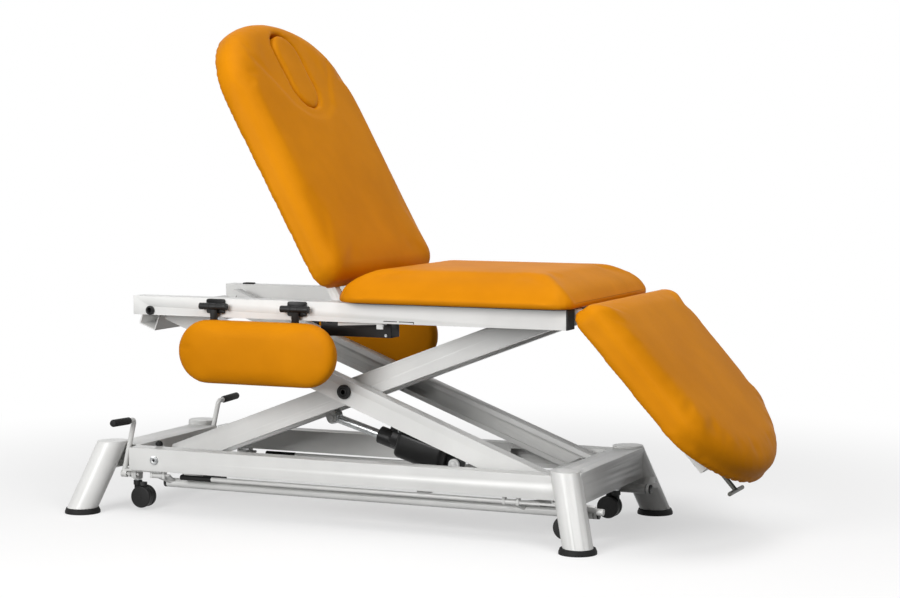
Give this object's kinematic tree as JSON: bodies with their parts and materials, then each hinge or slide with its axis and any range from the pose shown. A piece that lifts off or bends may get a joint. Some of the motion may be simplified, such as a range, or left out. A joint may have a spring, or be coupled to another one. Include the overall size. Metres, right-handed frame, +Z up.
{
  "type": "treatment table",
  "caption": "Electric treatment table with raised backrest, lowered leg rest, side rests, scissor lift and retractable castors on a steel base.",
  "frame": {"origin": "middle of the bounding box on the floor", "axes": "+X from the backrest end towards the leg rest end, +Y across the table, +Z up"},
  "size_m": [1.8838, 0.7038, 1.3214],
  "materials": {
    "black_plastic": "fine grain",
    "black_rubber": "matt",
    "board": "black-faced plywood",
    "dark_steel": "dark satin",
    "frame_paint": "white-grey powder coat",
    "steel": "zinc plated",
    "upholstery": "ochre imitation leather"
  },
  "bodies": {
    "base": {"base_rail_far": "frame_paint", "base_rail_near": "frame_paint", "base_cross_head": "frame_paint", "base_cross_foot": "frame_paint", "legs": "frame_paint", "foot_pads": "black_rubber", "castor_brackets": "frame_paint", "lower_pivot_shaft": "steel", "base_bar": "frame_paint", "bump_stops": "black_rubber"},
    "inner_arms": {"inner_arm_far": "frame_paint", "inner_arm_near": "frame_paint", "inner_pivot_sleeve": "frame_paint", "lift_bar": "frame_paint"},
    "outer_arms": {"outer_arm_far": "frame_paint", "outer_arm_near": "frame_paint", "outer_head_beam": "frame_paint", "centre_pins": "black_plastic"},
    "upper_frame": {"upper_rail_far": "frame_paint", "upper_rail_near": "frame_paint", "upper_crossbars": "frame_paint", "upper_pivot_pins": "black_plastic", "rail_end_plugs": "black_plastic", "hinge_ears": "frame_paint", "control_box": "black_plastic", "armrest_clamps": "black_plastic", "seat_board": "board", "seat_cushion": "upholstery"},
    "lower_rollers": {"lower_rollers": "black_plastic"},
    "upper_rollers": {"upper_rollers": "black_plastic"},
    "actuator_housing": {"actuator_housing": "black_plastic"},
    "actuator_rod": {"actuator_rod": "steel"},
    "backrest": {"backrest_frame": "frame_paint", "backrest_board": "board", "backrest_cushion": "upholstery"},
    "face_plug": {"face_plug": "upholstery"},
    "leg_rest": {"leg_rest_frame": "frame_paint", "leg_rest_board": "board", "leg_rest_cushion": "upholstery"},
    "leg_rest_handle": {"leg_rest_handle": "dark_steel"},
    "backrest_lever": {"backrest_lever": "frame_paint"},
    "armrest_far": {"armrest_pad_far": "upholstery", "armrest_hangers_far": "black_plastic"},
    "castor_stems_far": {"castor_stems_far": "steel"},
    "castor_lever_far": {"castor_lever_far": "frame_paint"},
    "foot_bar_far": {"foot_bar_far": "frame_paint"},
    "castor_fork_head_far": {"castor_fork_head_far": "black_plastic"},
    "castor_fork_foot_far": {"castor_fork_foot_far": "black_plastic"},
    "castor_wheels_head_far": {"castor_wheels_head_far": "black_rubber"},
    "castor_wheels_foot_far": {"castor_wheels_foot_far": "black_rubber"},
    "armrest_near": {"armrest_pad_near": "upholstery", "armrest_hangers_near": "black_plastic"},
    "castor_stems_near": {"castor_stems_near": "steel"},
    "castor_lever_near": {"castor_lever_near": "frame_paint"},
    "foot_bar_near": {"foot_bar_near": "frame_paint"},
    "castor_fork_head_near": {"castor_fork_head_near": "black_plastic"},
    "castor_fork_foot_near": {"castor_fork_foot_near": "black_plastic"},
    "castor_wheels_head_near": {"castor_wheels_head_near": "black_rubber"},
    "castor_wheels_foot_near": {"castor_wheels_foot_near": "black_rubber"}
  },
  "joints": [
    {"name": "lift", "type": "hinge", "parent": "base", "child": "inner_arms", "pos_m": [-0.6899, 0, 0.1495], "axis": [0, -1, 0], "range_deg": [-4.5, 16]},
    {"name": "arm_crossing", "type": "hinge", "parent": "inner_arms", "child": "outer_arms", "pos_m": [-0.1549, 0, 0.35275], "axis": [0, -1, 0], "range_deg": [-32.1, 9.1]},
    {"name": "upper_frame_pivot", "type": "hinge", "parent": "outer_arms", "child": "upper_frame", "pos_m": [-0.6899, 0, 0.556], "axis": [0, -1, 0], "range_deg": [-4.6, 16.1]},
    {"name": "lower_rollers_turn", "type": "hinge", "parent": "outer_arms", "child": "lower_rollers", "pos_m": [0.3801, 0, 0.1495], "axis": [0, 1, 0], "continuous": true},
    {"name": "upper_rollers_turn", "type": "hinge", "parent": "inner_arms", "child": "upper_rollers", "pos_m": [0.3801, 0, 0.569], "axis": [0, 1, 0], "continuous": true},
    {"name": "actuator_pivot", "type": "hinge", "parent": "base", "child": "actuator_housing", "pos_m": [0.0841, 0, 0.151], "axis": [0, 1, 0], "range_deg": [-3.77, 12.63]},
    {"name": "actuator_extend", "type": "slide", "parent": "actuator_housing", "child": "actuator_rod", "axis": [-0.9603, 0, 0.2791], "range_m": [-0.02186, 0.07646]},
    {"name": "backrest_tilt", "type": "hinge", "parent": "upper_frame", "child": "backrest", "pos_m": [-0.1539, 0, 0.587], "axis": [0, 1, 0], "range_deg": [-61, 0]},
    {"name": "face_plug_pull", "type": "slide", "parent": "backrest", "child": "face_plug", "axis": [0.8746, 0, 0.4848], "range_m": [0, 0.06]},
    {"name": "leg_rest_tilt", "type": "hinge", "parent": "upper_frame", "child": "leg_rest", "pos_m": [0.5014, 0, 0.587], "axis": [0, 1, 0], "range_deg": [-48.2, 6]},
    {"name": "leg_rest_handle_pull", "type": "slide", "parent": "leg_rest", "child": "leg_rest_handle", "axis": [0.6665, 0, -0.7455], "range_m": [0, 0.012], "stiffness_N_per_m": 1500, "springref_m": -0.008},
    {"name": "armrest_far_fold", "type": "hinge", "parent": "upper_frame", "child": "armrest_far", "pos_m": [-0.3439, 0.2935, 0.574], "axis": [1, 0, 0], "range_deg": [0, 90]},
    {"name": "castor_lever_far_press", "type": "hinge", "parent": "base", "child": "castor_lever_far", "pos_m": [-0.7859, 0.229, 0.102], "axis": [-1, 0, 0], "range_deg": [0, 40]},
    {"name": "castor_stems_far_lower", "type": "slide", "parent": "base", "child": "castor_stems_far", "axis": [0, 0, -1], "range_m": [0, 0.0121]},
    {"name": "foot_bar_far_press", "type": "hinge", "parent": "base", "child": "foot_bar_far", "pos_m": [-0.0694, 0.24, 0.104], "axis": [1, 0, 0], "range_deg": [0, 7], "stiffness_Nm_per_rad": 25, "springref_deg": -11.46},
    {"name": "castor_head_far_swivel", "type": "hinge", "parent": "castor_stems_far", "child": "castor_fork_head_far", "pos_m": [-0.7859, 0.195, 0.036], "axis": [0, 0, 1], "continuous": true},
    {"name": "castor_head_far_roll", "type": "hinge", "parent": "castor_fork_head_far", "child": "castor_wheels_head_far", "pos_m": [-0.7679, 0.195, 0.036], "axis": [0, 1, 0], "continuous": true},
    {"name": "castor_foot_far_swivel", "type": "hinge", "parent": "castor_stems_far", "child": "castor_fork_foot_far", "pos_m": [0.4741, 0.165, 0.036], "axis": [0, 0, 1], "continuous": true},
    {"name": "castor_foot_far_roll", "type": "hinge", "parent": "castor_fork_foot_far", "child": "castor_wheels_foot_far", "pos_m": [0.4561, 0.165, 0.036], "axis": [0, 1, 0], "continuous": true},
    {"name": "armrest_near_fold", "type": "hinge", "parent": "upper_frame", "child": "armrest_near", "pos_m": [-0.3439, -0.2935, 0.574], "axis": [-1, 0, 0], "range_deg": [0, 90]},
    {"name": "castor_lever_near_press", "type": "hinge", "parent": "base", "child": "castor_lever_near", "pos_m": [-0.7859, -0.229, 0.102], "axis": [1, 0, 0], "range_deg": [0, 40]},
    {"name": "castor_stems_near_lower", "type": "slide", "parent": "base", "child": "castor_stems_near", "axis": [0, 0, -1], "range_m": [0, 0.0121]},
    {"name": "foot_bar_near_press", "type": "hinge", "parent": "base", "child": "foot_bar_near", "pos_m": [-0.0694, -0.24, 0.104], "axis": [-1, 0, 0], "range_deg": [0, 7], "stiffness_Nm_per_rad": 25, "springref_deg": -11.46},
    {"name": "castor_head_near_swivel", "type": "hinge", "parent": "castor_stems_near", "child": "castor_fork_head_near", "pos_m": [-0.7859, -0.195, 0.036], "axis": [0, 0, 1], "continuous": true},
    {"name": "castor_head_near_roll", "type": "hinge", "parent": "castor_fork_head_near", "child": "castor_wheels_head_near", "pos_m": [-0.7679, -0.195, 0.036], "axis": [0, 1, 0], "continuous": true},
    {"name": "castor_foot_near_swivel", "type": "hinge", "parent": "castor_stems_near", "child": "castor_fork_foot_near", "pos_m": [0.4741, -0.165, 0.036], "axis": [0, 0, 1], "continuous": true},
    {"name": "castor_foot_near_roll", "type": "hinge", "parent": "castor_fork_foot_near", "child": "castor_wheels_foot_near", "pos_m": [0.4561, -0.165, 0.036], "axis": [0, 1, 0], "continuous": true},
    {"name": "backrest_lever_pull", "type": "hinge", "parent": "upper_frame", "child": "backrest_lever", "pos_m": [-0.0179, -0.25, 0.536], "axis": [0, -1, 0], "range_deg": [0, 12], "stiffness_Nm_per_rad": 2, "springref_deg": -14.32}
  ],
  "couplings": [
    {"joint": "arm_crossing", "follows": "lift", "ratio": -2},
    {"joint": "upper_frame_pivot", "follows": "lift", "ratio": 1},
    {"joint": "actuator_pivot", "follows": "lift", "ratio": 0.77083},
    {"joint": "actuator_extend", "follows": "lift", "m_per_rad": 0.27202},
    {"joint": "castor_stems_far_lower", "follows": "castor_lever_far_press", "m_per_rad": 0.0172},
    {"joint": "castor_stems_near_lower", "follows": "castor_lever_near_press", "m_per_rad": 0.0172}
  ]
}
